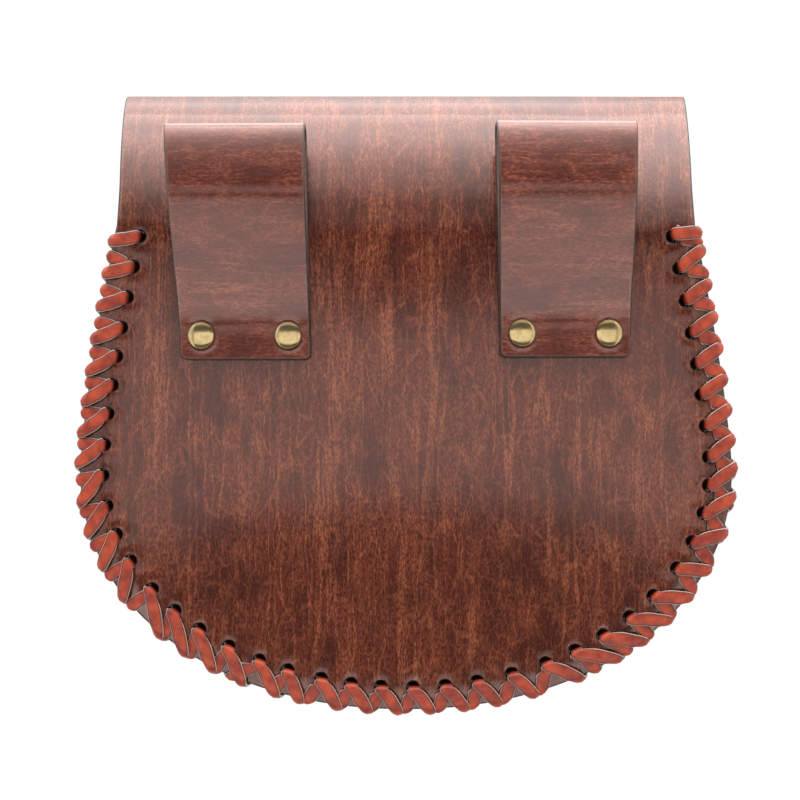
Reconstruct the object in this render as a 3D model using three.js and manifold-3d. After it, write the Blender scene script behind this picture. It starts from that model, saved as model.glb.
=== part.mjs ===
// Leather belt pouch lying on its flap with the back upwards.
// Millimetres; +X to the right of the back, +Y towards the top fold, +Z out of the back.
import * as THREE from 'three';
import { mergeVertices } from 'three/addons/utils/BufferGeometryUtils.js';
import Module from 'manifold-3d';

// Leather thicknesses, and the air between neighbouring pieces
const PANEL = 2.4;
const FRONT = 2.2;
const STRAP = 2;
const GAP = 0.3;

// Body: floor to the back's outer face, how far the back swells out, where most, and how far up and down
const DEPTH = 42;
const CROWN = 3;
const CROWN_Y = -10;
const CROWN_UP = 120;
const CROWN_DOWN = 93;

// Laced outline: a full round under the widest line, flanks drawn in above it
const WIDE_Y = -22.6;
const FLANK = 78;
const FLANK_POWER = 1.35;
const MOUTH_Y = 59.3;
const EDGE_HALF = 108.3;
const EDGE_DROP = 80.2;
const EDGE_DRAW_IN = 11.6;
const EDGE_POWER = 2.1;

// Line of lace holes
const HOLES = 42;
const HOLE_RADIUS = 2.6;
const HOLE_TOP_Y = 55.4;
const SEAM_HALF = 101.4;
const SEAM_DROP = 72.7;
const SEAM_DRAW_IN = 12.4;
const SEAM_POWER = 2;

// Top fold and flap: the back rolls down to a low foremost line, and the flap turns under it
const FOLD_TOP_Y = 105.4;
const FOLD_LINE_Z = 12;
const FOLD_REACH = 39;
const FOLD_RETURN = 16;
const FOLD_HALF = 96;
const FLAP_HALF = 91;
const FLAP_SHOULDER_Y = 6.3;
const FLAP_END_Y = -49.7;

// Lace
const LACE_WIDE = 4.5;
const LACE_WIDE_IN_HOLE = 2.8;
const LACE = 1;

// Belt loops and rivets
const LOOP_WIDE_TOP = 46.6;
const LOOP_WIDE_END = 43.4;
const LOOP_TAIL = 8.1;
const LOOP_RISE = 70.1;
const LOOP_BULGE = 13.9;
const RIVET_SPACING = 28.9;
const CAP_RADIUS = 4.5;
const SHANK_RADIUS = 1.8;
const SHANK_HOLE_RADIUS = 2.15;

// Roll at the top of a belt loop: drop from its top, share of its bulge, and the way it faces
const LOOP_ROLL = [
  { drop: 1.6, share: 0.16, facing: -40 },
  { drop: 0.95, share: 0.45, facing: 0 },
  { drop: 1.2, share: 0.67, facing: 20 },
  { drop: 3.6, share: 0.856, facing: 60 },
  { drop: 8.2, share: 0.94, facing: 80 },
  { drop: 17.7, share: 1, facing: 90 },
  { drop: 27, share: 0.93, facing: 100 },
];

// Section of the pocket front from its edge inwards: inset from the edge, height of the inside
const FRONT_SECTION = [
  { inset: 13.6, z: 39.2 },
  { inset: 16.6, z: 37.8 },
  { inset: 18.8, z: 33 },
  { inset: 22.6, z: 15 },
  { inset: 25.4, z: 8.2 },
  { inset: 30, z: 5.1 },
];

// Lace holes were punched by hand: how far along the line a hole lies from an even spacing
const HOLE_DRIFT = [
  { hole: 0, along: 0 },
  { hole: 3, along: -0.6 },
  { hole: 6, along: -3.2 },
  { hole: 9, along: -3.9 },
  { hole: 11, along: -4.9 },
  { hole: 12, along: -3.6 },
  { hole: 14, along: -3.9 },
  { hole: 16, along: -2.5 },
  { hole: 17, along: -3.1 },
  { hole: 18, along: -2.1 },
  { hole: 20, along: -3.1 },
  { hole: 23, along: -2.6 },
  { hole: 25, along: 0 },
  { hole: 29, along: 0.5 },
  { hole: 30, along: 2 },
  { hole: 32, along: 1.4 },
  { hole: 34, along: -0.8 },
  { hole: 38, along: -1.2 },
  { hole: 41, along: 0 },
];

// Lean of the lace on the back, from a hole out to the edge, in degrees forward along the lacing
const LACE_LEANS = [
  { hole: 0, over: 18, under: 0 },
  { hole: 1, over: 22, under: -16 },
  { hole: 3, over: 29, under: -6 },
  { hole: 5, over: 37, under: -3 },
  { hole: 8, over: 39, under: 4 },
  { hole: 9, over: 34, under: -2 },
  { hole: 11, over: 40, under: 0 },
  { hole: 12, over: 50, under: -6 },
  { hole: 13, over: 46, under: 12 },
  { hole: 14, over: 43, under: 8 },
  { hole: 15, over: 40, under: -5 },
  { hole: 16, over: 40, under: -36 },
  { hole: 17, over: 32, under: -16 },
  { hole: 20, over: 33, under: -17 },
  { hole: 23, over: 28, under: -19 },
  { hole: 24, over: 25, under: -26 },
  { hole: 25, over: 42, under: -28 },
  { hole: 26, over: 48, under: 16 },
  { hole: 27, over: 44, under: 18 },
  { hole: 29, over: 36, under: -6 },
  { hole: 30, over: 25, under: -15 },
  { hole: 32, over: 37, under: -31 },
  { hole: 36, over: 22, under: -32 },
  { hole: 40, over: 23, under: -21 },
  { hole: 41, over: -8, under: -25 },
];

// Rivet line of each loop: its middle, the slant of its sides and its tilt with the crowned back
const LOOPS = [
  { side: 'left', x: -53.4, y: 22.1, slant: 2.4, tilt: -1.9 },
  { side: 'right', x: 52.8, y: 22.9, slant: 0.1, tilt: 1.9 },
];

const wasm = await Module();
wasm.setup();

const point = (x, y, z) => new THREE.Vector3(x, y, z);
const turn = (degrees) => THREE.MathUtils.degToRad(degrees);

// Solids for joining and cutting
function solid(geometry, matrix = new THREE.Matrix4()) {
  const bare = geometry.clone().applyMatrix4(matrix);
  bare.deleteAttribute('normal');
  bare.deleteAttribute('uv');
  const whole = mergeVertices(bare, 1e-3);
  return new wasm.Manifold(new wasm.Mesh({
    numProp: 3,
    vertProperties: whole.attributes.position.array,
    triVerts: new Uint32Array(whole.index.array),
  }));
}

function surface(body) {
  const { vertProperties, triVerts } = body.getMesh();
  const geometry = new THREE.BufferGeometry();
  geometry.setAttribute('position', new THREE.BufferAttribute(vertProperties, 3));
  geometry.setIndex(new THREE.BufferAttribute(triVerts, 1));
  geometry.computeVertexNormals();
  return geometry;
}

function indexed(points, faces) {
  const geometry = new THREE.BufferGeometry().setFromPoints(points);
  geometry.setIndex(faces);
  geometry.computeVertexNormals();
  return geometry;
}

const quad = (a, b, c, d) => [a, b, c, a, c, d];

// Wall of leather: rows of points on its outer skin, and a second skin behind them
function wall(rows, thick) {
  const last = rows.length - 1;
  const side = rows[0].length - 1;
  const behind = rows.map((row, r) => row.map((p, c) => {
    const across = row[Math.min(c + 1, side)].clone().sub(row[Math.max(c - 1, 0)]);
    const along = rows[Math.min(r + 1, last)][c].clone().sub(rows[Math.max(r - 1, 0)][c]);
    return p.clone().addScaledVector(across.cross(along).normalize(), -thick);
  }));
  const out = (r, c) => r * (side + 1) + c;
  const back = (r, c) => out(r, c) + (last + 1) * (side + 1);
  const faces = [];
  for (let r = 0; r < last; r += 1) {
    for (let c = 0; c < side; c += 1) {
      faces.push(...quad(out(r, c), out(r, c + 1), out(r + 1, c + 1), out(r + 1, c)));
      faces.push(...quad(back(r, c), back(r + 1, c), back(r + 1, c + 1), back(r, c + 1)));
    }
    faces.push(...quad(out(r, 0), out(r + 1, 0), back(r + 1, 0), back(r, 0)));
    faces.push(...quad(out(r, side), back(r, side), back(r + 1, side), out(r + 1, side)));
  }
  for (let c = 0; c < side; c += 1) {
    faces.push(...quad(out(0, c), back(0, c), back(0, c + 1), out(0, c + 1)));
    faces.push(...quad(out(last, c), out(last, c + 1), back(last, c + 1), back(last, c)));
  }
  return indexed([...rows.flat(), ...behind.flat()], faces);
}

// Flat strip bent along its stations: `away` faces out of the bend, `fold` is the line it bends over
function strip(stations, thick) {
  const points = [];
  stations.forEach((station, i) => {
    const into = station.at.clone().sub(stations[Math.max(i - 1, 0)].at).normalize();
    const onward = stations[Math.min(i + 1, stations.length - 1)].at.clone().sub(station.at);
    const along = into.add(onward.normalize()).normalize();
    const square = along.clone().cross(station.away).normalize();
    const side = station.fold ? station.fold.clone() : square;
    const slant = side.dot(square);
    const wide = station.wide / Math.max(Math.abs(slant), 0.6);
    const up = station.fold ? station.away : side.clone().cross(along);
    for (const [s, u] of [[-1, -1], [1, -1], [1, 1], [-1, 1]]) {
      points.push(station.at.clone()
        .addScaledVector(side, (Math.sign(slant) * s * wide) / 2)
        .addScaledVector(up, (u * thick) / 2));
    }
  });
  const end = points.length - 4;
  const faces = [...quad(0, 1, 2, 3), ...quad(end, end + 3, end + 2, end + 1)];
  for (let a = 0; a < end; a += 4) {
    for (let k = 0; k < 4; k += 1) {
      const n = (k + 1) % 4;
      faces.push(...quad(a + k, a + 4 + k, a + 4 + n, a + n));
    }
  }
  return indexed(points, faces);
}

// D-shaped line from the left of the mouth, round the bottom, to the right of the mouth
class LacedLine extends THREE.Curve {
  constructor(half, drop, drawIn, topY, power) {
    super();
    Object.assign(this, { half, drop, drawIn, topY, power });
  }

  getPoint(t, target = new THREE.Vector2()) {
    const flank = 0.24;
    if (t > flank && t < 1 - flank) {
      const angle = (Math.PI * (t - flank)) / (1 - 2 * flank);
      const full = (share) => Math.sign(share) * Math.abs(share) ** (2 / this.power);
      return target.set(-this.half * full(Math.cos(angle)), WIDE_Y - this.drop * full(Math.sin(angle)));
    }
    const rise = 1 - Math.min(t, 1 - t) / flank;
    const y = WIDE_Y + rise * (this.topY - WIDE_Y);
    const drawn = this.drawIn * ((y - WIDE_Y) / FLANK) ** FLANK_POWER;
    return target.set(Math.sign(t - 0.5) * (this.half - drawn), y);
  }
}

const edge = new LacedLine(EDGE_HALF, EDGE_DROP, EDGE_DRAW_IN, MOUTH_Y, EDGE_POWER);
const seam = new LacedLine(SEAM_HALF, SEAM_DROP, SEAM_DRAW_IN, HOLE_TOP_Y, SEAM_POWER);
const pitch = seam.getLength() / (HOLES - 1);

function rowAt(table, hole, column) {
  const next = table.findIndex((row) => row.hole >= hole);
  const [a, b] = [table[Math.max(next - 1, 0)], table[next]];
  const share = b.hole > a.hole ? (hole - a.hole) / (b.hole - a.hole) : 0;
  return THREE.MathUtils.lerp(a[column], b[column], share);
}

const numbers = [...Array(HOLES).keys()];
const spots = numbers.map((hole) => hole + rowAt(HOLE_DRIFT, hole, 'along') / pitch);

// Place on the laced rim: stitches along the seam, out from the seam, and height
function onRim(stitch, out, z) {
  const u = THREE.MathUtils.clamp(stitch / (HOLES - 1), 0, 1);
  const past = (stitch - u * (HOLES - 1)) * pitch;
  const along = seam.getTangentAt(u);
  const p = seam.getPointAt(u).addScaledVector(along, past);
  return point(p.x + along.y * out, p.y - along.x * out, z);
}

function outward(stitch) {
  const along = seam.getTangentAt(THREE.MathUtils.clamp(stitch / (HOLES - 1), 0, 1));
  return point(along.y, -along.x, 0);
}

const edgePoints = edge.getPoints(600);
function margin(stitch) {
  const p = seam.getPointAt(THREE.MathUtils.clamp(stitch / (HOLES - 1), 0, 1));
  return Math.min(...edgePoints.map((q) => q.distanceTo(p)));
}

function holePrisms(top, bottom) {
  return spots.map((spot) => {
    const p = onRim(spot, 0, 0);
    const prism = new THREE.CylinderGeometry(HOLE_RADIUS, HOLE_RADIUS, top - bottom, 6);
    const heading = Math.atan2(outward(spot).y, outward(spot).x);
    prism.rotateX(Math.PI / 2).rotateZ(heading);
    return solid(prism.translate(p.x, p.y, (top + bottom) / 2));
  });
}

const pouch = new THREE.Group();
const leather = new THREE.MeshStandardMaterial({ color: 0x5a2d24, roughness: 0.5 });
const tan = new THREE.MeshStandardMaterial({ color: 0xb84a30, roughness: 0.55 });
const brass = new THREE.MeshStandardMaterial({ color: 0x9a7a3a, roughness: 0.35, metalness: 1 });

function add(parent, name, geometry, material) {
  const mesh = new THREE.Mesh(geometry, material);
  mesh.name = name;
  parent.add(mesh);
  return mesh;
}

// Belt loops: a strap laid up the back, creased at the top and bowed out on its way down
const tailZ = GAP + STRAP / 2;
const topLegZ = tailZ + STRAP + GAP;

function loopStations() {
  const widthAt = (y) => THREE.MathUtils.lerp(LOOP_WIDE_END, LOOP_WIDE_TOP, y / LOOP_RISE);
  const roll = LOOP_ROLL.map(({ drop, share, facing }) => ({
    y: LOOP_RISE - drop,
    z: tailZ + share * LOOP_BULGE,
    away: point(0, Math.cos(turn(facing)), Math.sin(turn(facing))),
  }));
  const down = point(0, 0, -1);
  const up = point(0, 0, 1);
  const path = [
    { y: -LOOP_TAIL, z: tailZ, away: down },
    { y: 40, z: tailZ, away: down },
    { y: LOOP_RISE - 5.2, z: tailZ, away: down },
    ...roll,
    { y: 12, z: topLegZ + 1.75, away: up },
    { y: 7.2, z: topLegZ + 0.35, away: up },
    { y: 4.6, z: topLegZ, away: up },
    { y: -LOOP_TAIL, z: topLegZ, away: up },
  ];
  return path.map(({ y, z, away }) => ({ at: point(0, y, z), away, wide: widthAt(y) }));
}

// Rivet: low dome outside, shank through the leather, flat cap inside
function rivetGeometry() {
  const seat = topLegZ + STRAP / 2 + GAP;
  const inside = -PANEL - 2 * GAP;
  const turned = [
    [0, inside - 1], [3.4, inside - 1], [4, inside - 0.6], [4, inside],
    [SHANK_RADIUS, inside], [SHANK_RADIUS, seat], [CAP_RADIUS, seat],
    [CAP_RADIUS, seat + 0.5], [CAP_RADIUS - 0.4, seat + 0.9], [2.6, seat + 1.2], [0, seat + 1.35],
  ];
  const profile = turned.map(([r, z]) => new THREE.Vector2(r, z));
  return new THREE.LatheGeometry(profile, 12).rotateX(Math.PI / 2);
}

function shankHole() {
  const drill = new THREE.CylinderGeometry(SHANK_HOLE_RADIUS, SHANK_HOLE_RADIUS, 24, 8);
  return drill.rotateX(Math.PI / 2);
}

function edgeHalf(y) {
  if (y < WIDE_Y) return EDGE_HALF * (1 - ((WIDE_Y - y) / EDGE_DROP) ** EDGE_POWER) ** (1 / EDGE_POWER);
  return EDGE_HALF - EDGE_DRAW_IN * ((y - WIDE_Y) / FLANK) ** FLANK_POWER;
}

// Height of the back's outer face, with f the share of the way from the middle to the edge
function crown(f, y) {
  const t = Math.min(1, y > CROWN_Y ? (y - CROWN_Y) / CROWN_UP : (CROWN_Y - y) / CROWN_DOWN);
  return CROWN * (1 - f * f) ** 1.5 * (1 - t * t) ** 2;
}

const shankDrills = [];
for (const loop of LOOPS) {
  const mount = new THREE.Group();
  const z = DEPTH + crown(loop.x / edgeHalf(loop.y), loop.y);
  mount.position.set(loop.x, loop.y, z);
  mount.rotation.y = turn(loop.tilt);
  pouch.add(mount);
  const at = [-1, 1].map((s) => (s * RIVET_SPACING) / 2);
  const drills = at.map((x) => solid(shankHole().translate(x, 0, 0)));
  const skew = new THREE.Matrix4().makeShear(0, 0, -Math.tan(turn(loop.slant)), 0, 0, 0);
  const strap = solid(strip(loopStations(), STRAP), skew).subtract(wasm.Manifold.union(drills));
  add(mount, `belt_loop_${loop.side}`, surface(strap), leather);
  for (const x of at) {
    const place = x * loop.x > 0 ? 'outer' : 'inner';
    add(mount, `rivet_${loop.side}_${place}`, rivetGeometry(), brass).position.x = x;
  }
  mount.updateMatrixWorld(true);
  at.forEach((x) => shankDrills.push(solid(shankHole().translate(x, 0, 0), mount.matrixWorld)));
}

// Back panel and flap: one sheet, followed from the bottom of the back over the fold to the flap's end
function sheetRows() {
  const across = [-1, -0.92, -0.7, -0.36, 0, 0.36, 0.7, 0.92, 1];
  const foldY = FOLD_TOP_Y - FOLD_REACH;
  const flapY = FOLD_TOP_Y - FOLD_RETURN;
  const lower = [86, 77, 67, 57, 46, 35, 24, 12, 0];
  const stations = [
    ...lower.map((a) => WIDE_Y - EDGE_DROP * Math.sin(turn(a))),
    -4, 12, 28, 45, MOUTH_Y,
  ].map((y) => ({ y, z: DEPTH, half: edgeHalf(y), back: 1 }));
  for (let a = 90; a >= -90; a -= 22.5) {
    const [from, span, rise] = a > 0
      ? [foldY, FOLD_REACH, DEPTH - FOLD_LINE_Z] : [flapY, FOLD_RETURN, FOLD_LINE_Z];
    stations.push({
      y: from + span * Math.cos(turn(a)),
      z: FOLD_LINE_Z + rise * Math.sin(turn(a)),
      half: FOLD_HALF,
      back: a > 0 ? 1 : 0,
    });
  }
  for (const y of [55, 30, FLAP_SHOULDER_Y]) {
    const share = (flapY - y) / (flapY - FLAP_SHOULDER_Y);
    stations.push({ y, z: 0, half: THREE.MathUtils.lerp(FOLD_HALF, FLAP_HALF, share), back: 0 });
  }
  for (const a of [18, 36, 52, 66, 78, 86]) {
    stations.push({
      y: FLAP_SHOULDER_Y + (FLAP_END_Y - FLAP_SHOULDER_Y) * Math.sin(turn(a)),
      z: 0,
      half: FLAP_HALF * Math.cos(turn(a)),
      back: 0,
    });
  }
  return stations.map(({ y, z, half, back }) => across.map((f) => (
    point(f * half, y, z + back * crown(f, y)))));
}

const sheet = solid(wall(sheetRows(), PANEL))
  .subtract(wasm.Manifold.union([...holePrisms(DEPTH + 5, DEPTH - 8), ...shankDrills]));
add(pouch, 'back_and_flap', surface(sheet), leather);

// Pocket front: a tray between two nested pans, open at the mouth, with a flat rim to lace
const rimTop = DEPTH - PANEL - 0.4;
const rimBottom = rimTop - FRONT;

function pan(rings, topY) {
  const loops = rings.map(({ inset, z }) => (
    new LacedLine(EDGE_HALF - inset, EDGE_DROP - inset, EDGE_DRAW_IN, topY, EDGE_POWER)
      .getPoints(34).map((p) => point(p.x, p.y, z))));
  const count = loops[0].length;
  const centre = (ring) => point(0, 0, ring.z);
  const points = [...loops.flat(), centre(rings[0]), centre(rings.at(-1))];
  const [top, bottom] = [points.length - 2, points.length - 1];
  const lastLoop = (rings.length - 1) * count;
  const faces = [];
  for (let c = 0; c < count; c += 1) {
    const n = (c + 1) % count;
    faces.push(top, c, n, bottom, lastLoop + n, lastLoop + c);
    for (let a = 0; a < lastLoop; a += count) {
      faces.push(...quad(a + c, a + count + c, a + count + n, a + n));
    }
  }
  return solid(indexed(points, faces));
}

// The same section moved out by the leather's thickness
function outerSection(section) {
  return section.map(({ inset, z }, i) => {
    const before = section[Math.max(i - 1, 0)];
    const after = section[Math.min(i + 1, section.length - 1)];
    const flat = i === 0 || i === section.length - 1;
    const run = flat ? 1 : after.inset - before.inset;
    const fall = flat ? 0 : before.z - after.z;
    const long = Math.hypot(run, fall);
    return { inset: inset - (FRONT * fall) / long, z: z - (FRONT * run) / long };
  });
}

const inside = [{ inset: FRONT_SECTION[0].inset, z: rimTop + 3 }, ...FRONT_SECTION];
const outside = [{ inset: 0, z: rimTop }, { inset: 0, z: rimBottom }, ...outerSection(FRONT_SECTION)];
const tray = pan(outside, MOUTH_Y)
  .subtract(pan(inside, MOUTH_Y + 12))
  .subtract(wasm.Manifold.union(holePrisms(rimTop + 3, rimBottom - 3)));
add(pouch, 'front_panel', surface(tray), leather);

// Lacing: each pass comes up through a hole, leans out to the edge and goes under to the next hole
function stitchStations(hole, way, layer) {
  const off = GAP + LACE / 2 + layer * (LACE + GAP);
  const inHole = (0.5 - layer) * (LACE + 2 * GAP);
  const lean = turn(rowAt(LACE_LEANS, hole, layer ? 'over' : 'under'));
  const spot = spots[hole];
  const cross = spot + (margin(spot) * Math.tan(lean)) / pitch;
  const brim = margin(cross);
  const towards = (share) => THREE.MathUtils.lerp(spot, cross, share);
  const next = spots[Math.min(hole + way, HOLES - 1)];
  const from = (share) => THREE.MathUtils.lerp(next, cross, share);
  const [top, low] = [DEPTH, rimBottom];
  const rows = [
    { stitch: spot, out: inHole, z: low - 0.9 - layer * (LACE + GAP), facing: -135, in: 'hole' },
    { stitch: spot, out: inHole, z: top + 0.9 + layer * (LACE + GAP), facing: 135, in: 'hole' },
    { stitch: towards(0.3), out: 3.3, z: top + off, facing: 90 },
    { stitch: towards(0.9), out: brim + 0.3 * off, z: top + off, facing: 67.5, in: 'bend' },
    { stitch: cross, out: brim + off, z: top + 0.3 * off, facing: 22.5, in: 'bend' },
    { stitch: cross, out: brim + off, z: low - 0.3 * off, facing: -22.5, in: 'bend' },
    { stitch: from(0.9), out: brim + 0.3 * off, z: low - off, facing: -67.5, in: 'bend' },
    { stitch: from(0.3), out: 3.3, z: low - off, facing: -90 },
  ];
  return rows.map((row) => {
    const away = outward(row.stitch).multiplyScalar(Math.cos(turn(row.facing)));
    const { x, y } = outward(row.stitch);
    return {
      at: onRim(row.stitch, row.out, row.z),
      away: away.setZ(Math.sin(turn(row.facing))),
      fold: row.in && point(-y, x, 0),
      wide: row.in === 'hole' ? LACE_WIDE_IN_HOLE : LACE_WIDE,
    };
  });
}

const overPass = numbers.flatMap((i) => stitchStations(i, 1, 1));
const underPass = numbers.slice(1).reverse().flatMap((i) => stitchStations(i, -1, 0));
const underEnd = stitchStations(0, 1, 0).slice(0, 2);
add(pouch, 'lace_over', strip(overPass.slice(0, -1), LACE), tan);
add(pouch, 'lace_under', strip([...underPass, ...underEnd], LACE), tan);

export default pouch;
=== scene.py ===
"""Belt pouch of dark brown leather, laced round its edge, lying on its flap with its back upwards.

Sizes are in millimetres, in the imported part's frame: +X to the right, +Y towards the roll at the
top and +Z out of the back. A finished mesh is brought to metres.
"""

import bisect
import math
import random

import bmesh
import bpy
from mathutils import Matrix, Vector, kdtree, noise


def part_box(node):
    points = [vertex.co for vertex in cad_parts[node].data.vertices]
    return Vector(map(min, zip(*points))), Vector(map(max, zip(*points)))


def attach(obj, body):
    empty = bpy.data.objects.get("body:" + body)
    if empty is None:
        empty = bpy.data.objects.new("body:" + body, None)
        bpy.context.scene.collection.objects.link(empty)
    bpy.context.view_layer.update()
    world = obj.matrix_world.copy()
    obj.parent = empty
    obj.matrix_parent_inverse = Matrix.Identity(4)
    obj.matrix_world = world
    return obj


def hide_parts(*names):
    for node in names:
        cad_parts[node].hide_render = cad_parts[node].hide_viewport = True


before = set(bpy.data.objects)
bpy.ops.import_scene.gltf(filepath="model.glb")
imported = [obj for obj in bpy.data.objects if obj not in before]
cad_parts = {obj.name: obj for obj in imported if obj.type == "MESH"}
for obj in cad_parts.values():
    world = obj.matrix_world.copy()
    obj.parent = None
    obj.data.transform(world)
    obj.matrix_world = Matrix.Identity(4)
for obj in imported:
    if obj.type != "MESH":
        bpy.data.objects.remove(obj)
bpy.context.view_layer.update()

# Back panel and flap
# One piece of 2.4 mm cowhide is the back, the roll over the top and the flap in front. It is cut
# flat with rounded, dark painted edges, punched with lace holes along its curve, and folded once.
MM = 0.001
panel_thick = 2.4
back_face_z = 42.0              # grain side of the back, along its rim
back_high = Vector(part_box("back_and_flap")[1]) / MM
widest_y = -22.6
edge_half = back_high.x + 0.8    # the laced edge swells between its stitches
edge_drop = 80.2                # from the widest line down to the lowest point
edge_draw_in = 11.6             # how far a flank draws in on its way up
flank_run = 78.0
flank_power = 1.35
edge_power = 2.1                # a little fuller than an ellipse
mouth_y = 59.3                  # top of the laced edge


def half_width(y, half=edge_half, drop=edge_drop, draw_in=edge_draw_in, power=edge_power):
    """Half the width of a D shaped line at a height."""
    if y < widest_y:
        return half * max(0.0, 1 - ((widest_y - y) / drop) ** power) ** (1 / power)
    return half - draw_in * ((y - widest_y) / flank_run) ** flank_power


def d_line(half, drop, draw_in, top_y, power=edge_power, flank_steps=60, round_steps=120):
    """Points of a D shaped line: down the left flank, round the bottom and up the right flank."""
    heights = [top_y + (widest_y - top_y) * step / flank_steps for step in range(flank_steps)]
    left = [Vector((-half_width(y, half, drop, draw_in, power), y)) for y in heights]
    turns = [math.pi / 2 * step / round_steps for step in range(2 * round_steps + 1)]
    bottom = [Vector((-half * math.copysign(abs(math.cos(turn)) ** (2 / power), math.cos(turn)),
                      widest_y - drop * abs(math.sin(turn)) ** (2 / power))) for turn in turns]
    right = [Vector((-point.x, point.y)) for point in reversed(left)]
    return left + bottom + right


class Route:
    """A line through points, measured along its length."""

    def __init__(self, points):
        self.points = points
        self.runs = [0.0]
        for here, there in zip(points, points[1:]):
            self.runs.append(self.runs[-1] + (there - here).length)
        self.length = self.runs[-1]
        self.ways = [(there - here).normalized() for here, there in zip(
            [points[0], *points[:-1]], [*points[1:], points[-1]])]

    def at(self, run):
        """The point at a run along the line and the way it goes there, straight on past the ends."""
        end = min(max(bisect.bisect_left(self.runs, run), 1), len(self.points) - 1)
        start = end - 1
        share = (run - self.runs[start]) / (self.runs[end] - self.runs[start])
        way = self.ways[start].lerp(self.ways[end], min(max(share, 0.0), 1.0)).normalized()
        return self.points[start].lerp(self.points[end], share), way


hole_count = 42
hole_radius = 1.95
hole_top_y = 55.4
seam = Route(d_line(101.4, 72.7, 12.4, hole_top_y, 2.0))
hole_pitch = seam.length / (hole_count - 1)
# The holes were punched by hand: a hole, and how far along the line it lies from an even spacing.
hole_drift = [
    (0, 0), (3, -0.6), (6, -3.2), (9, -3.9), (11, -4.9), (12, -3.6), (14, -3.9), (16, -2.5),
    (17, -3.1), (18, -2.1), (20, -3.1), (23, -2.6), (25, 0), (29, 0.5), (30, 2), (32, 1.4),
    (34, -0.8), (38, -1.2), (41, 0)]


def row_at(table, hole, column):
    """A column of a table at a hole, between the rows before and after it."""
    for before, after in zip(table, table[1:]):
        if hole <= after[0]:
            share = (hole - before[0]) / (after[0] - before[0])
            return before[column] + (after[column] - before[column]) * share


hole_runs = [hole * hole_pitch + row_at(hole_drift, hole, 1) for hole in range(hole_count)]
lace_holes = [seam.at(run)[0] for run in hole_runs]

shank_hole_radius = 2.15
shank_holes = []
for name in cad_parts:
    if name.startswith("rivet_"):
        rivet_low, rivet_high = (Vector(corner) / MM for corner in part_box(name))
        shank_holes.append(((rivet_low + rivet_high) / 2).to_2d())

# The sheet's run: up the back, down a wide roll to a low foremost line, and under to the flap.
fold_reach = 39.0
fold_return = 16.0
fold_line_z = 12.0
fold_half = 96.0
fold_y = back_high.y - fold_reach
flap_y = back_high.y - fold_return
bottom_y = widest_y - edge_drop
flap_half = 91.0
flap_shoulder_y = 6.3
flap_end_y = -49.7
quarter = [math.pi / 2 * step / 40 for step in range(41)]
fold_roll = [Vector((fold_y + fold_reach * math.sin(turn),
                     fold_line_z + (back_face_z - fold_line_z) * math.cos(turn))) for turn in quarter]
fold_turn = [Vector((flap_y + fold_return * math.cos(turn), fold_line_z * (1 - math.sin(turn))))
             for turn in quarter[1:]]
back_rise = [Vector((bottom_y + step * (fold_y - bottom_y) / 100, back_face_z)) for step in range(100)]
flap_fall = [Vector((flap_y + step * (flap_end_y - flap_y) / 60, 0.0)) for step in range(1, 61)]
sheet_route = Route(back_rise + fold_roll + fold_turn + flap_fall)
fold_start_run = fold_y - bottom_y
fold_end_run = sheet_route.length - (flap_y - flap_end_y)

sheet_side = []                 # half width and run, from the bottom of the back to the flap's end
for step in range(90):
    turn = math.pi / 2 * (1 - step / 90)
    y = widest_y - edge_drop * math.sin(turn)
    sheet_side.append((half_width(y), y - bottom_y))
for step in range(41):
    y = widest_y + (mouth_y - widest_y) * step / 40
    sheet_side.append((half_width(y), y - bottom_y))
neck_half = half_width(mouth_y)
neck_length = 16.0              # over which the side leaves the laced edge for the roll
neck_start_run = mouth_y - bottom_y
neck_end_run = neck_start_run + neck_length
for step in range(1, 11):
    ease = math.sin(math.pi / 2 * step / 10)
    sheet_side.append((neck_half + (fold_half - neck_half) * ease, neck_start_run + neck_length * step / 10))
for step in range(1, 91):
    sheet_side.append((fold_half, neck_end_run + (fold_end_run - neck_end_run) * step / 90))
shoulder_run = fold_end_run + flap_y - flap_shoulder_y
for step in range(61):
    turn = math.pi / 2 * step / 60
    sheet_side.append((flap_half * math.cos(turn),
                       shoulder_run + (flap_shoulder_y - flap_end_y) * math.sin(turn)))
sheet_outline = [Vector(corner) for corner in sheet_side]
sheet_outline += [Vector((-half, run)) for half, run in reversed(sheet_side[1:-1])]


def made_object(name, shape, finishes):
    """An object in the scene from a bmesh, which is used up."""
    mesh = bpy.data.meshes.new(name)
    shape.to_mesh(mesh)
    shape.free()
    for finish in finishes:
        mesh.materials.append(finish)
    piece = bpy.data.objects.new(name, mesh)
    bpy.context.scene.collection.objects.link(piece)
    return piece


def turned(profile, steps):
    """A solid of revolution about Z, from radius and height pairs that start and end on the axis."""
    shape = bmesh.new()
    corners = [shape.verts.new((radius, 0, height)) for radius, height in profile]
    edges = [shape.edges.new(pair) for pair in zip(corners, corners[1:])]
    bmesh.ops.spin(shape, geom=corners + edges, axis=(0, 0, 1), cent=(0, 0, 0), angle=math.tau,
                   steps=steps, use_merge=True)
    bmesh.ops.remove_doubles(shape, verts=shape.verts, dist=0.0001)
    bmesh.ops.recalc_face_normals(shape, faces=shape.faces)
    return shape


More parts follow.
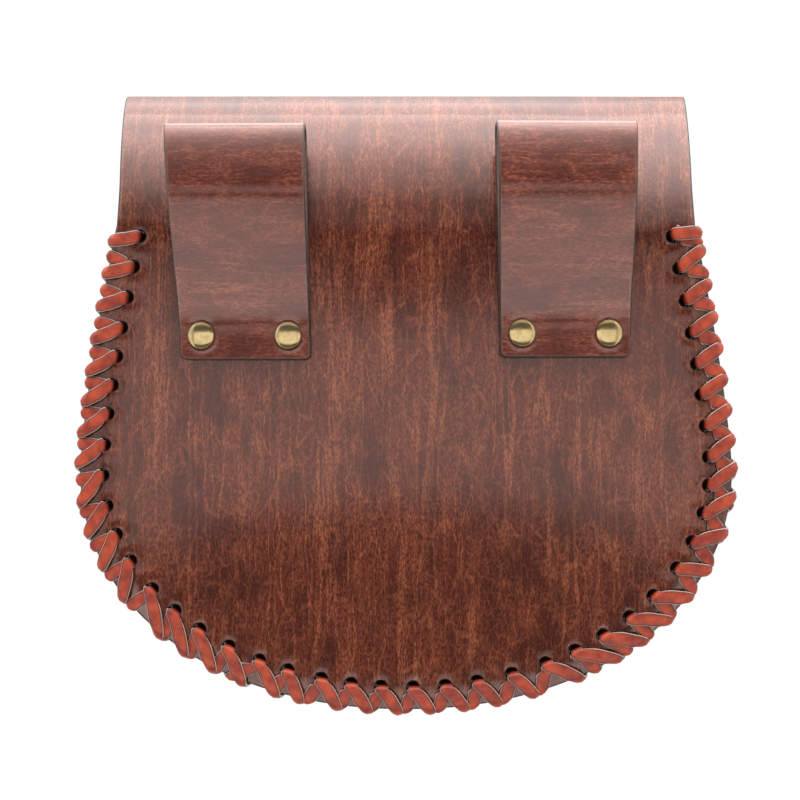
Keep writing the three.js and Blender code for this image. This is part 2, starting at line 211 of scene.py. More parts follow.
def punches(places, radius, low, high):
    """Punch for round holes between two heights, a little wider where it enters and leaves."""
    tool = turned([(0, low - 0.5), (radius + 0.6, low - 0.5), (radius + 0.25, low + 0.05),
                   (radius, low + 0.5), (radius, high - 0.8), (radius + 0.12, high - 0.4),
                   (radius + 0.35, high - 0.08), (radius + 0.9, high + 0.5), (0, high + 0.5)], 24)
    first = tool.verts[:] + tool.edges[:] + tool.faces[:]
    for place in places[1:]:
        copy = bmesh.ops.duplicate(tool, geom=first)["geom"]
        shift = place - places[0]
        bmesh.ops.translate(tool, vec=(shift.x, shift.y, 0),
                            verts=[part for part in copy if isinstance(part, bmesh.types.BMVert)])
    bmesh.ops.translate(tool, vec=(places[0].x, places[0].y, 0), verts=tool.verts)
    for face in tool.faces:
        face.material_index = 1
    return tool


def cut(piece, tool, operation):
    """Cuts a piece with a tool, which is used up."""
    cutter = made_object("cutter", tool, [])
    change = piece.modifiers.new("cut", "BOOLEAN")
    change.operation = operation
    change.solver = "EXACT"
    change.object = cutter
    mesh = bpy.data.meshes.new_from_object(piece.evaluated_get(bpy.context.evaluated_depsgraph_get()))
    piece.modifiers.clear()
    piece.data = mesh
    bpy.data.objects.remove(cutter)


def leather_blank(name, outline, thick, cell, finishes):
    """A flat blank with rounded edges: faces, edges and flesh side take the three finishes."""
    low = Vector((min(corner.x for corner in outline) - 2, min(corner.y for corner in outline) - 2))
    high = Vector((max(corner.x for corner in outline) + 2, max(corner.y for corner in outline) + 2))
    size = high - low
    hide = bmesh.new()
    bmesh.ops.create_grid(hide, x_segments=round(size.x / cell), y_segments=round(size.y / cell), size=0.5)
    bmesh.ops.scale(hide, vec=(size.x, size.y, 1), verts=hide.verts)
    bmesh.ops.translate(hide, vec=(low.x + size.x / 2, low.y + size.y / 2, thick), verts=hide.verts)
    flesh = bmesh.ops.extrude_face_region(hide, geom=hide.faces[:])["geom"]
    bmesh.ops.translate(hide, vec=(0, 0, -thick),
                        verts=[part for part in flesh if isinstance(part, bmesh.types.BMVert)])
    for part in flesh:
        if isinstance(part, bmesh.types.BMFace):
            part.material_index = 2
    bmesh.ops.recalc_face_normals(hide, faces=hide.faces)
    piece = made_object(name, hide, finishes)

    lip = 0.12                  # how far the cutting die stands past both faces
    edge_round = 0.9
    die = bmesh.new()
    base = die.faces.new([die.verts.new((corner.x, corner.y, -lip)) for corner in outline])
    raised = bmesh.ops.extrude_face_region(die, geom=[base])["geom"]
    bmesh.ops.translate(die, vec=(0, 0, thick + 2 * lip),
                        verts=[part for part in raised if isinstance(part, bmesh.types.BMVert)])
    rims = [edge for edge in die.edges if abs(edge.verts[0].co.z - edge.verts[1].co.z) < lip]
    bmesh.ops.bevel(die, geom=rims, offset=edge_round, affect="EDGES", segments=4, profile=0.5, material=-1)
    bmesh.ops.recalc_face_normals(die, faces=die.faces)
    for face in die.faces:
        face.material_index = 1
    cut(piece, die, "INTERSECT")
    return piece


def form(piece, place, grain_of):
    """Bends a flat piece into its place and keeps where each point lay in the hide, for the grain."""
    shape = bmesh.new()
    shape.from_mesh(piece.data)
    grain = shape.verts.layers.float_vector.new("grain")
    for vert in shape.verts:
        vert[grain] = grain_of(vert.co)
        vert.co = place(*vert.co) * MM
    shape.to_mesh(piece.data)
    shape.free()
    piece.data.shade_smooth()
    piece.data.set_sharp_from_angle(angle=math.radians(40))


crown_rise = 3.0                # the full pouch swells in the middle
crown_mid_y = -10.0
crown_reach_up = 120.0          # the swell runs on into the roll
crown_reach_down = 93.0
ripple_rise = 0.25
dimple_depth = 0.5              # the lacing draws the leather down round each hole
dimple_reach = 2.6
rim_depth = 1.6                 # and thins it along the edge
rim_reach = 9.0
hole_tree = kdtree.KDTree(hole_count)
for number, place in enumerate(lace_holes):
    hole_tree.insert(place.to_3d(), number)
hole_tree.balance()


def crown(x, y):
    """How far the back swells out at a point."""
    half = half_width(y) if y < mouth_y else fold_half
    along = (y - crown_mid_y) / (crown_reach_up if y > crown_mid_y else crown_reach_down)
    if abs(x) >= half or abs(along) >= 1:
        return 0.0
    return crown_rise * (1 - (x / half) ** 2) ** 1.5 * (1 - along ** 2) ** 2


def ripple(x, y):
    """Gentle unevenness of the back, still at its rim."""
    return ripple_rise * noise.noise((x / 42, y / 58, 0.7)) * min(1.0, 2 * crown(x, y) / crown_rise)


def edge_gap(x, y):
    """Distance from a point of the back in to its laced edge."""
    if y > widest_y:
        return half_width(y) - abs(x)
    across = abs(x / edge_half) ** edge_power
    down = ((widest_y - y) / edge_drop) ** edge_power
    reach = (across + down) ** (1 / edge_power)
    return (1 / max(0.05, reach) - 1) * math.hypot(x, widest_y - y)


def pinch(x, y):
    """How far the lacing draws down the face of the leather."""
    gap = hole_tree.find((x, y, 0))[2]
    dimple = dimple_depth * math.exp(-(gap / dimple_reach) ** 2)
    if y > mouth_y:
        return dimple
    rim = max(0.0, 1 - max(0.0, edge_gap(x, y)) / rim_reach) * min(1.0, (mouth_y - y) / 10)
    return dimple + rim_depth * rim ** 2


slump_depth = 1.15              # the back eases down on its way into the roll
slump_lead = 13.0               # from so far before the roll to as far past its start
slump_hold = 24.0               # and comes back after so much of the roll
slump_fade = 30.0
slump_end_run = fold_start_run + slump_hold + slump_fade
droop_right = 6.0               # the roll sinks at its ends, more so at the right
droop_left = 2.0
droop_inner_half = 42.0         # where an end starts to sink, and over what width
droop_width = 45.0
droop_start_run = fold_start_run - 12
droop_span = 66.5
droop_peak = 4 / 27             # highest value of share squared times the rest


def smooth(share):
    """Runs gently from 0 to 1 while the share does."""
    share = min(1.0, max(0.0, share))
    return share ** 2 * (3 - 2 * share)


def slump(run):
    """How far the back has eased down at a run along the sheet."""
    eased_down = smooth((run - fold_start_run + slump_lead) / (2 * slump_lead))
    come_back = smooth((run - fold_start_run - slump_hold) / slump_fade)
    return slump_depth * eased_down * (1 - come_back)


def droop(x, run):
    """How far the end of the roll sinks, between the back and the roll's foremost line."""
    share = (run - droop_start_run) / droop_span
    if not 0 < share < 1:
        return 0.0
    sink = droop_right if x > 0 else droop_left
    return sink * smooth((abs(x) - droop_inner_half) / droop_width) * share ** 2 * (1 - share) / droop_peak


def place_sheet(across, along, up):
    (y, z), way = sheet_route.at(along)
    if along < slump_end_run:
        up *= 1 - pinch(across, y) / panel_thick
        z += crown(across, y) + ripple(across, y) - droop(across, along) - slump(along)
    inward = panel_thick - up
    return Vector((across, y + way.y * inward, z - way.x * inward))


def node(tree, kind, sockets, **settings):
    """Adds a shader node; a socket takes a value or another node's output."""
    made = tree.nodes.new(f"ShaderNode{kind}")
    for name, value in settings.items():
        setattr(made, name, value)
    for name, value in sockets.items():
        if isinstance(value, bpy.types.NodeSocket):
            tree.links.new(value, made.inputs[name])
        else:
            made.inputs[name].default_value = value
    return made


def blend(tree, share, first, second):
    """Colour between two, by a share."""
    return node(tree, "Mix", {0: share, 6: first, 7: second}, data_type="RGBA").outputs[2]


def ranged(tree, value, low, high, start=0.0, stop=1.0):
    """A value that runs from start to stop while another goes from low to high."""
    return node(tree, "MapRange", {0: value, 1: low, 2: high, 3: start, 4: stop}).outputs[0]


def sums(tree, operation, first, second):
    """Two values added, multiplied or otherwise put together."""
    return node(tree, "Math", {0: first, 1: second}, operation=operation).outputs[0]


def speckle(tree, place, across, along, detail, roughness=0.6):
    """Noise that is finer across than along, in spots per millimetre."""
    spread = node(tree, "Mapping", {"Vector": place, "Scale": (across, along, across)}).outputs[0]
    return node(tree, "TexNoise", {"Vector": spread, "Scale": 1.0, "Detail": detail,
                                   "Roughness": roughness}).outputs[0]


def ridge(tree, value, wide, narrow):
    """Thin lines where a noise passes through its middle."""
    apart = sums(tree, "ABSOLUTE", sums(tree, "SUBTRACT", value, 0.5), 0.0)
    return ranged(tree, apart, wide, narrow)


def web(tree, place, across, along, wide, narrow):
    """Hairlines of an even width round cells that are drawn out along the hide."""
    spread = node(tree, "Mapping", {"Vector": place, "Scale": (across, along, across)}).outputs[0]
    cells = node(tree, "TexVoronoi", {"Vector": spread, "Scale": 1.0}, feature="DISTANCE_TO_EDGE")
    return ranged(tree, cells.outputs["Distance"], wide, narrow)


def leather_finish(name, shine, dark, warm, rust, thread):
    """Waxed, antiqued leather: cloudy brown with long upright streaks and a web of paler hairlines."""
    finish = bpy.data.materials.new(name)
    finish.use_nodes = True
    tree = finish.node_tree
    grain = node(tree, "Attribute", {}, attribute_name="grain").outputs["Vector"]
    stretch = node(tree, "Mapping", {"Vector": grain, "Scale": (0.3, 0.1, 0.3)}).outputs[0]
    drift = node(tree, "TexNoise", {"Vector": stretch, "Scale": 1.0, "Detail": 3.0}).outputs[1]
    bent = node(tree, "VectorMath", {0: drift, 1: (3.0, 3.0, 0), 2: grain},
                operation="MULTIPLY_ADD").outputs[0]

    clouds = ranged(tree, speckle(tree, grain, 0.10, 0.055, 3), 0.36, 0.64)
    bands = ranged(tree, speckle(tree, bent, 0.13, 0.016, 2), 0.42, 0.62)
    fibres = ranged(tree, speckle(tree, grain, 2.2, 0.8, 2), 0.40, 0.60)
    streaks = ridge(tree, speckle(tree, bent, 0.19, 0.007, 2, 0.5), 0.022, 0.008)
    upright_hairs = ridge(tree, speckle(tree, bent, 0.75, 0.035, 2, 0.5), 0.036, 0.010)
    level_hairs = ridge(tree, speckle(tree, bent, 0.10, 0.9, 2, 0.5), 0.034, 0.010)
    creases = web(tree, bent, 0.17, 0.045, 0.05, 0.012)
    fine_creases = web(tree, bent, 0.5, 0.2, 0.09, 0.02)
    turning = ranged(tree, speckle(tree, grain, 0.09, 0.07, 2), 0.42, 0.58)
    upright_share = sums(tree, "MULTIPLY", ranged(tree, turning, 0, 1, 0.25, 0.6),
                         ranged(tree, bands, 0, 1, 0.5, 1))
    # marks, how strongly they show, and their colour, from the ground up
    layers = [
        (bands, 0.62, rust),
        (level_hairs, ranged(tree, turning, 0, 1, 0.3, 0.05), thread),
        (upright_hairs, upright_share, thread),
        (fine_creases, ranged(tree, turning, 0, 1, 0.42, 0.16), thread),
        (creases, ranged(tree, clouds, 0, 1, 0.3, 0.65), thread),
        (streaks, ranged(tree, clouds, 0, 1, 0.5, 1), thread)]

    colour = blend(tree, ranged(tree, clouds, 0, 1, 0.2, 1), dark, warm)
    for marks, share, tint in layers:
        colour = blend(tree, sums(tree, "MULTIPLY", marks, share), colour, tint)
    colour = blend(tree, ranged(tree, fibres, 0, 1, 0.75, 0), colour, dark)
    colour = blend(tree, ranged(tree, clouds, 0, 0.45, 0.5, 0), colour, dark)
    surface = tree.nodes["Principled BSDF"]
    tree.links.new(colour, surface.inputs["Base Color"])
    surface.inputs["Specular IOR Level"].default_value = 1.0
    surface.inputs["Specular Tint"].default_value = (1, 0.80, 0.76, 1)
    tree.links.new(ranged(tree, fibres, 0.0, 1.0, shine, shine + 0.04), surface.inputs["Roughness"])
    bump = node(tree, "Bump", {"Strength": 1.0, "Distance": 0.000003, "Height": fibres})
    tree.links.new(bump.outputs[0], surface.inputs["Normal"])
    return finish


def edge_paint():
    """Dark paint on the cut edges, rubbed smooth."""
    finish = bpy.data.materials.new("edge_paint")
    finish.use_nodes = True
    tree = finish.node_tree
    place = node(tree, "TexCoord", {}).outputs["Object"]
    worn = node(tree, "TexNoise", {"Vector": place, "Scale": 420.0, "Detail": 3.0}).outputs[0]
    surface = tree.nodes["Principled BSDF"]
    colour = blend(tree, ranged(tree, worn, 0.4, 0.7), (0.012, 0.009, 0.008, 1), (0.046, 0.028, 0.022, 1))
    tree.links.new(colour, surface.inputs["Base Color"])
    surface.inputs["Specular IOR Level"].default_value = 0.6
    tree.links.new(ranged(tree, worn, 0.3, 0.7, 0.36, 0.55), surface.inputs["Roughness"])
    bump = node(tree, "Bump", {"Strength": 0.6, "Distance": 0.0001, "Height": worn})
    tree.links.new(bump.outputs[0], surface.inputs["Normal"])
    return finish


def flesh_side():
    """The raw inner side of the hide: brown, matt and fibrous."""
    finish = bpy.data.materials.new("flesh_side")
    finish.use_nodes = True
    tree = finish.node_tree
    place = node(tree, "TexCoord", {}).outputs["Object"]
    nap = node(tree, "TexNoise", {"Vector": place, "Scale": 900.0, "Detail": 5.0,
                                  "Roughness": 0.7}).outputs[0]
    surface = tree.nodes["Principled BSDF"]
    colour = blend(tree, ranged(tree, nap, 0.35, 0.7), (0.15, 0.07, 0.044, 1), (0.38, 0.2, 0.124, 1))
    tree.links.new(colour, surface.inputs["Base Color"])
    surface.inputs["Roughness"].default_value = 0.92
    bump = node(tree, "Bump", {"Strength": 0.8, "Distance": 0.0002, "Height": nap})
    tree.links.new(bump.outputs[0], surface.inputs["Normal"])
    return finish


panel_finish = leather_finish(
    "panel_leather_waxed", shine=0.12, dark=(0.036, 0.0054, 0.0027, 1), warm=(0.102, 0.018, 0.0085, 1),
    rust=(0.16, 0.035, 0.0145, 1), thread=(0.268, 0.076, 0.0335, 1))
leather_finishes = [panel_finish, edge_paint(), flesh_side()]
back = leather_blank("back_and_flap_leather", sheet_outline, panel_thick, 1.5, leather_finishes)
flat_holes = [Vector((hole.x, hole.y - bottom_y)) for hole in lace_holes]
cut(back, punches(flat_holes, hole_radius, 0, panel_thick), "DIFFERENCE")
flat_shank_holes = [Vector((hole.x, hole.y - bottom_y)) for hole in shank_holes]
cut(back, punches(flat_shank_holes, shank_hole_radius, 0, panel_thick), "DIFFERENCE")
form(back, place_sheet, lambda point: point)
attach(back, "root")
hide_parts("back_and_flap")

# Pocket front
# A second piece of leather, wet moulded over a form into a shallow tray with a flat rim. The rim
# has the same holes and lies under the back, where the lacing joins the two.
front_thick = 2.2
rim_under_z = 37.0
tray_floor_z = 2.9
tray_section = [(0, rim_under_z), (6, rim_under_z), (12.2, rim_under_z), (14.9, 36.1), (16.7, 32.4),
                (18.6, 23.5), (20.5, 14.4), (22.0, 9.4), (24.4, 5.4), (27.6, 3.3), (31, tray_floor_z)]


def eased(points, steps):
    """Smooth curve through points, in so many steps between each two."""
    full = [2 * points[0] - points[1], *points, 2 * points[-1] - points[-2]]
    curve = []
    for before, start, stop, after in zip(full, full[1:], full[2:], full[3:]):
        knot_start = (start - before).length ** 0.5
        knot_stop = knot_start + (stop - start).length ** 0.5
        knot_end = knot_stop + (after - stop).length ** 0.5
        for step in range(steps):
            knot = knot_start + (knot_stop - knot_start) * step / steps
            share = (knot - knot_start) / (knot_stop - knot_start)
            first = before.lerp(start, knot / knot_start)
            middle = start.lerp(stop, share)
            last = stop.lerp(after, (knot - knot_stop) / (knot_end - knot_stop))
            rising = first.lerp(middle, knot / knot_stop)
            falling = middle.lerp(last, (knot - knot_start) / (knot_end - knot_start))
            curve.append(rising.lerp(falling, share))
    return curve + [points[-1].copy()]


def lofted(rows):
    """Skin over rows of points: a grid with each corner set on its point."""
    skin = bmesh.new()
    bmesh.ops.create_grid(skin, x_segments=len(rows) - 1, y_segments=len(rows[0]) - 1, size=0.5)
    for corner in skin.verts:
        row = round((corner.co.x + 0.5) * (len(rows) - 1))
        column = round((corner.co.y + 0.5) * (len(rows[0]) - 1))
        corner.co = rows[row][column]
    return skin


tray_rows = []
for inset, height in eased([Vector(corner) for corner in tray_section], 4):
    line = d_line(edge_half - inset, edge_drop - inset, edge_draw_in, mouth_y, edge_power, 30, 60)
    tray_rows.append([Vector((point.x, point.y, height)) for point in line])
tray = lofted(tray_rows)
tray.faces.new([tray.verts.new(point) for point in tray_rows[-1]])
bmesh.ops.remove_doubles(tray, verts=tray.verts, dist=0.0001)
bmesh.ops.recalc_face_normals(tray, faces=tray.faces)
tray.faces.ensure_lookup_table()
largest = max(tray.faces, key=lambda face: face.calc_area())
if largest.normal.z > 0:
    bmesh.ops.reverse_faces(tray, faces=tray.faces)
front = made_object("front_panel_leather", tray, leather_finishes)
wall = front.modifiers.new("wall", "SOLIDIFY")
wall.thickness = front_thick
wall.offset = -1
wall.use_even_offset = True
wall.material_offset = 2
wall.material_offset_rim = 1
rounding = front.modifiers.new("rounding", "BEVEL")
rounding.width = 0.6
rounding.segments = 3
rounding.limit_method = "ANGLE"
rounding.angle_limit = math.radians(60)
cut(front, punches(lace_holes, hole_radius, rim_under_z, rim_under_z + front_thick), "DIFFERENCE")
form(front, lambda x, y, z: Vector((x, y, z)), lambda point: point)
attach(front, "root")
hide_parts("front_panel")

# Belt loops
# Two straps of 2 mm leather, each folded double with a soft round top that stands away from the
# back, so that a belt passes through. Both ends are riveted to the back, one over the other.
strap_thick = 2.0
strap_wide_top = 46.6
strap_wide_end = 43.4
strap_tail = 8.1                # below the rivets
strap_rise = 70.1               # from the rivets to the crest
strap_corner = 2.2
inner_leg_z = 1.3
outer_leg_z = 3.55
rivet_spacing = 28.9
cap_radius = 4.5
cap_press_reach = 1.0           # how far past a rivet cap it still presses the strap down
cap_dent = 0.12
strap_bow = 0.05                # the outer leg stands out a little more in the middle
# along the strap from its rivets and out from the back: up the inner leg, over the top, down the outer leg
strap_points = [Vector(corner) for corner in (
    (-strap_tail, inner_leg_z), (20, inner_leg_z), (45, inner_leg_z), (59, inner_leg_z), (65, 1.35),
    (68.4, 3.4), (69.1, 7.2), (68.8, 10.2), (67.6, 11.9), (65.6, 13.0), (63.0, 13.75), (60, 14.3),
    (56, 14.73), (53, 14.95), (50, 15.1), (48, 15.08), (46, 14.84), (43.5, 14.24), (40.5, 13.45),
    (33, 11.4), (23, 8.64), (12, 5.6), (7, 4.22), (3.8, 3.62), (1.5, outer_leg_z),
    (-strap_tail, outer_leg_z + 0.6))]
strap_route = Route(eased(strap_points, 8))


def strap_half(run):
    """Half the strap's width at a run along it, with its end corners rounded."""
    height = min(max(strap_route.at(run)[0].x / strap_rise, 0.0), 1.0)
    half = (strap_wide_end + (strap_wide_top - strap_wide_end) * height) / 2
    end_gap = min(run, strap_route.length - run)
    if end_gap < strap_corner:
        half -= strap_corner - math.sqrt(strap_corner ** 2 - (strap_corner - end_gap) ** 2)
    return half


end_runs = [strap_corner * (1 - math.cos(math.pi / 12 * step)) for step in range(7)]
middle_steps = 100
strap_runs = end_runs[:-1]
strap_runs += [strap_corner + (strap_route.length - 2 * strap_corner) * step / middle_steps
               for step in range(middle_steps + 1)]
strap_runs += [strap_route.length - run for run in reversed(end_runs[:-1])]
strap_outline = [Vector((strap_half(run), run)) for run in strap_runs]
strap_outline += [Vector((-strap_half(run), run)) for run in reversed(strap_runs)]
strap_holes = [Vector((side * rivet_spacing / 2, run))
               for side in (-1, 1) for run in (strap_tail, strap_route.length - strap_tail)]

strap_finish = leather_finish(
    "strap_leather_waxed", shine=0.18, dark=(0.052, 0.0074, 0.003, 1), warm=(0.124, 0.022, 0.01, 1),
    rust=(0.17, 0.0376, 0.0176, 1), thread=(0.244, 0.067, 0.035, 1))
strap_finishes = [strap_finish, *leather_finishes[1:]]
# side, x and y of the middle between the rivets, slant of the sides, tilt with the swell of the back
loop_places = [("left", -53.4, 22.1, 2.4, -1.9), ("right", 52.8, 22.9, 0.1, 1.9)]
loop_mounts = {}
for side, x, y, slant, tilt in loop_places:
    spot = Matrix.Translation((x, y, back_face_z + crown(x, y)))
    mount = spot @ Matrix.Rotation(math.radians(tilt), 4, "Y")
    loop_mounts[side] = mount

    def place_strap(across, along, up):
        (y, z), way = strap_route.at(along)
        offset = up - strap_thick / 2
        rivet_gap = min(math.hypot(across - sign * rivet_spacing / 2, y) for sign in (-1, 1))
        dent = 0.0
        if along > strap_route.length / 2:
            press = math.exp(-(max(0.0, rivet_gap - cap_radius) / cap_press_reach) ** 2)
            dent = cap_dent * press * up / strap_thick
            z += strap_bow * (z - outer_leg_z) * (1 - (2 * across / strap_wide_top) ** 2)
            z += press * (outer_leg_z - z)
        return mount @ Vector((-across - y * math.tan(math.radians(slant)),
                               y + way.y * offset, z - way.x * offset - dent))

    strap = leather_blank(f"belt_loop_{side}_strap", strap_outline, strap_thick, 0.9, strap_finishes)
    cut(strap, punches(strap_holes, shank_hole_radius, 0, strap_thick), "DIFFERENCE")
    form(strap, place_strap, lambda point: Vector((point.y + x, point.x, point.z)))
    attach(strap, "root")
    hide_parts(f"belt_loop_{side}")

# Rivets
# Four tubular rivets of antiqued brass: a low domed cap outside, a shank through both layers of
# the strap and the back, and a smaller cap pressed on inside the pouch.
cap_seat = 4.62
rivet_profile = [
    # radius, height, from the inner cap up the shank to the outer cap
    (0, -4.0), (3.3, -4.0), (3.8, -3.85), (4.0, -3.55), (4.0, -3.05), (1.8, -3.0),
    (1.8, cap_seat), (4.2, cap_seat), (4.45, cap_seat + 0.1), (cap_radius, cap_seat + 0.4),
    (cap_radius, cap_seat + 0.95), (4.46, cap_seat + 1.08), (4.36, cap_seat + 1.16),
    (4.2, cap_seat + 1.2), (3.0, cap_seat + 1.32), (2.0, cap_seat + 1.39), (1.0, cap_seat + 1.435),
    (0, cap_seat + 1.45)]


def brass_finish():
    """Antiqued brass: pale gold and faintly stained, with painted shade round the rim of the cap."""
    finish = bpy.data.materials.new("rivet_brass_antiqued")
    finish.use_nodes = True
    tree = finish.node_tree
    place = node(tree, "TexCoord", {}).outputs["Object"]
    stain = node(tree, "TexNoise", {"Vector": place, "Scale": 520.0, "Detail": 4.0}).outputs[0]
    rim = node(tree, "Attribute", {}, attribute_name="rim").outputs["Fac"]
    pits = node(tree, "TexNoise", {"Vector": place, "Scale": 2600.0, "Detail": 2.0}).outputs[0]
    surface = tree.nodes["Principled BSDF"]
    colour = blend(tree, ranged(tree, stain, 0.42, 0.66), (0.80, 0.60, 0.30, 1), (0.66, 0.47, 0.21, 1))
    # painted shade: the cap's rounded rim is darkened in place of its bright reflected ring
    colour = blend(tree, ranged(tree, rim, 0.905, 0.955, 0, 0.92), colour, (0.08, 0.055, 0.03, 1))
    tree.links.new(colour, surface.inputs["Base Color"])
    surface.inputs["Metallic"].default_value = 1.0
    tree.links.new(ranged(tree, stain, 0.3, 0.7, 0.09, 0.14), surface.inputs["Roughness"])
    bump = node(tree, "Bump", {"Strength": 0.5, "Distance": 0.00001, "Height": pits})
    tree.links.new(bump.outputs[0], surface.inputs["Normal"])
    return finish


rivet_finish = brass_finish()
for side, outer in (("left", -1), ("right", 1)):
    for name, sign in (("outer", outer), ("inner", -outer)):
        rivet_shape = turned(rivet_profile, 48)
        # share of the cap's radius, which places the painted shade on its rim
        rim = rivet_shape.verts.layers.float.new("rim")
        for corner in rivet_shape.verts:
            corner[rim] = math.hypot(corner.co.x, corner.co.y) / cap_radius
        spot = loop_mounts[side] @ Matrix.Translation((sign * rivet_spacing / 2, 0, 0))
        bmesh.ops.transform(rivet_shape, matrix=Matrix.Scale(MM, 4) @ spot, verts=rivet_shape.verts)
        rivet = made_object(f"rivet_{side}_{name}_brass", rivet_shape, [rivet_finish])
        rivet.data.shade_smooth()
        rivet.data.set_sharp_from_angle(angle=math.radians(50))
        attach(rivet, "root")
        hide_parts(f"rivet_{side}_{name}")

# Lacing
# Flat leather lace, 4.5 mm wide, joins the back to the front. One strand runs back through every
# hole and over the edge, and a second strand, worked the other way, crosses over it.
lace_wide = 4.5
lace_thick = 1.0
lace_gap = 0.3
# how far the strands lean forward along the lacing, in degrees, at some of the holes
lace_leans = [
    # hole, over, under
    (0, 18, 0), (1, 22, -16), (3, 29, -6), (5, 37, -3), (8, 39, 4), (9, 34, -2), (11, 40, 0),
    (12, 50, -6), (13, 46, 12), (14, 43, 8), (15, 40, -5), (16, 40, -36), (17, 33, -21),
    (20, 34, -22), (23, 30, -24), (24, 26, -29), (25, 42, -30), (26, 48, 16), (27, 44, 18),
    (29, 36, -6), (30, 25, -18), (32, 37, -33), (36, 22, -34), (40, 23, -24), (41, -8, -25)]
# across from -1 to 1 and up in shares of the thickness, round the lace
lace_section = [(-1, 0.24), (-0.9, 0.42), (-0.6, 0.49), (0, 0.53), (0.6, 0.49), (0.9, 0.42), (1, 0.24),
                (1, -0.24), (0.9, -0.42), (0.6, -0.47), (0, -0.47), (-0.6, -0.47), (-0.9, -0.42), (-1, -0.24)]
edge_line = d_line(edge_half, edge_drop, edge_draw_in, mouth_y)
edge_tree = kdtree.KDTree(len(edge_line))
for number, point in enumerate(edge_line):
    edge_tree.insert(point.to_3d(), number)
edge_tree.balance()
chance = random.Random(11)


def brim_at(run):
    """Distance from the line of holes out to the edge."""
    return edge_tree.find(seam.at(run)[0].to_3d())[2]


def stitch(hole, way, layer):
    """Stations of one stitch: run along the holes, distance out, height and width."""
    lift = lace_gap + lace_thick / 2 + layer * (lace_thick + lace_gap) + chance.uniform(-0.06, 0.06)
    lean = math.tan(math.radians(row_at(lace_leans, hole, 1 if layer else 2) + chance.uniform(-2, 2)))
    above = 0.2 if layer else 1.5           # distance out where it leaves the hole
    below = -1.5 if layer else 0.1          # and where it enters the hole
    ahead = 0.5
    rim = lace_gap + lace_thick / 2 + 0.3 + 0.5 * layer
    top = back_face_z
    low = rim_under_z
    start = hole_runs[hole]
    cross = start + ahead + brim_at(start) * lean
    turn = cross + 2.0 * lean
    stop = hole_runs[min(hole + way, hole_count - 1)]
    brim = brim_at(cross)

    def leg(first, second, share):
        return first + (second - first) * share

    return [Vector(station) for station in (
        (start, below + 0.7, low - lift + 0.1, 4.0),
        (start, below, low + 0.6, 3.4),
        (start + ahead, above - 0.2, top - 1.6, 3.6),
        (start + ahead, above, top + lift - 0.7, 3.8),
        (start + ahead, above + 0.5, top + lift - 0.05, 4.2),
        (leg(start + ahead, cross, 0.45), brim * 0.45, top + lift - 0.3, lace_wide),
        (leg(start + ahead, cross, 0.9), brim * 0.93, top + lift - 0.9, lace_wide),
        (leg(cross, turn, 0.1), brim + 0.7 * rim, top + 0.6 * lift - 1.1, 4.2),
        (leg(cross, turn, 0.3), brim + rim, top - 1.7, 3.8),
        (leg(cross, turn, 0.7), brim + rim, low + 1.4, 3.8),
        (leg(cross, turn, 0.9), brim + 0.7 * rim, low - 0.6 * lift + 0.3, 4.2),
        (leg(stop, turn, 0.9), brim * 0.93, low - lift + 0.1, lace_wide),
        (leg(stop, turn, 0.45), brim * 0.45, low - lift, lace_wide))]


def lace_strand(name, stations, finish):
    """A flat lace through its stations, its sides kept along the edge of the leather."""
    course = eased(stations, 4)
    middles = []
    for run, out, height, _ in course:
        point, way = seam.at(run)
        middles.append(Vector((point.x + way.y * out, point.y - way.x * out, height)))
    rows = []
    for number, (run, out, height, wide) in enumerate(course):
        ahead = middles[min(number + 1, len(middles) - 1)] - middles[max(number - 1, 0)]
        ahead.normalize()
        side = seam.at(run)[1].to_3d()
        facing = ahead.cross(side)
        spread = wide / 2 / max(0.5, facing.length)
        facing.normalize()
        # Its sides sink into the edge of the leather.
        cup = 0.9 * smooth((out - brim_at(run) + 1.0) / 1.8)
        ring = [middles[number] + side * across * spread + facing * (up * lace_thick - cup * across ** 2)
                for across, up in lace_section]
        rows.append(ring + ring[:1])
    shape = bmesh.new()
    bmesh.ops.create_grid(shape, x_segments=len(rows) - 1, y_segments=len(lace_section), size=0.5)
    place = shape.verts.layers.float_vector.new("lace")
    for corner in shape.verts:
        row = round((corner.co.x + 0.5) * (len(rows) - 1))
        column = round((corner.co.y + 0.5) * len(lace_section))
        run, out, height, wide = course[row]
        # how deep the lace lies in a hole, which sets the painted shade there
        hole_shade = min(max((back_face_z - 0.3 - height) / 1.5, 0.0), 1.0) if out < 2.5 else 0.0
        corner[place] = (lace_section[column % len(lace_section)][0], run, hole_shade)
        corner.co = rows[row][column] * MM
    bmesh.ops.remove_doubles(shape, verts=shape.verts, dist=0.0000001)
    bmesh.ops.holes_fill(shape, edges=[edge for edge in shape.edges if edge.is_boundary], sides=20)
    bmesh.ops.recalc_face_normals(shape, faces=shape.faces)
    strand = made_object(name, shape, [finish])
    strand.data.shade_smooth()
    strand.data.set_sharp_from_angle(angle=math.radians(60))
    return strand


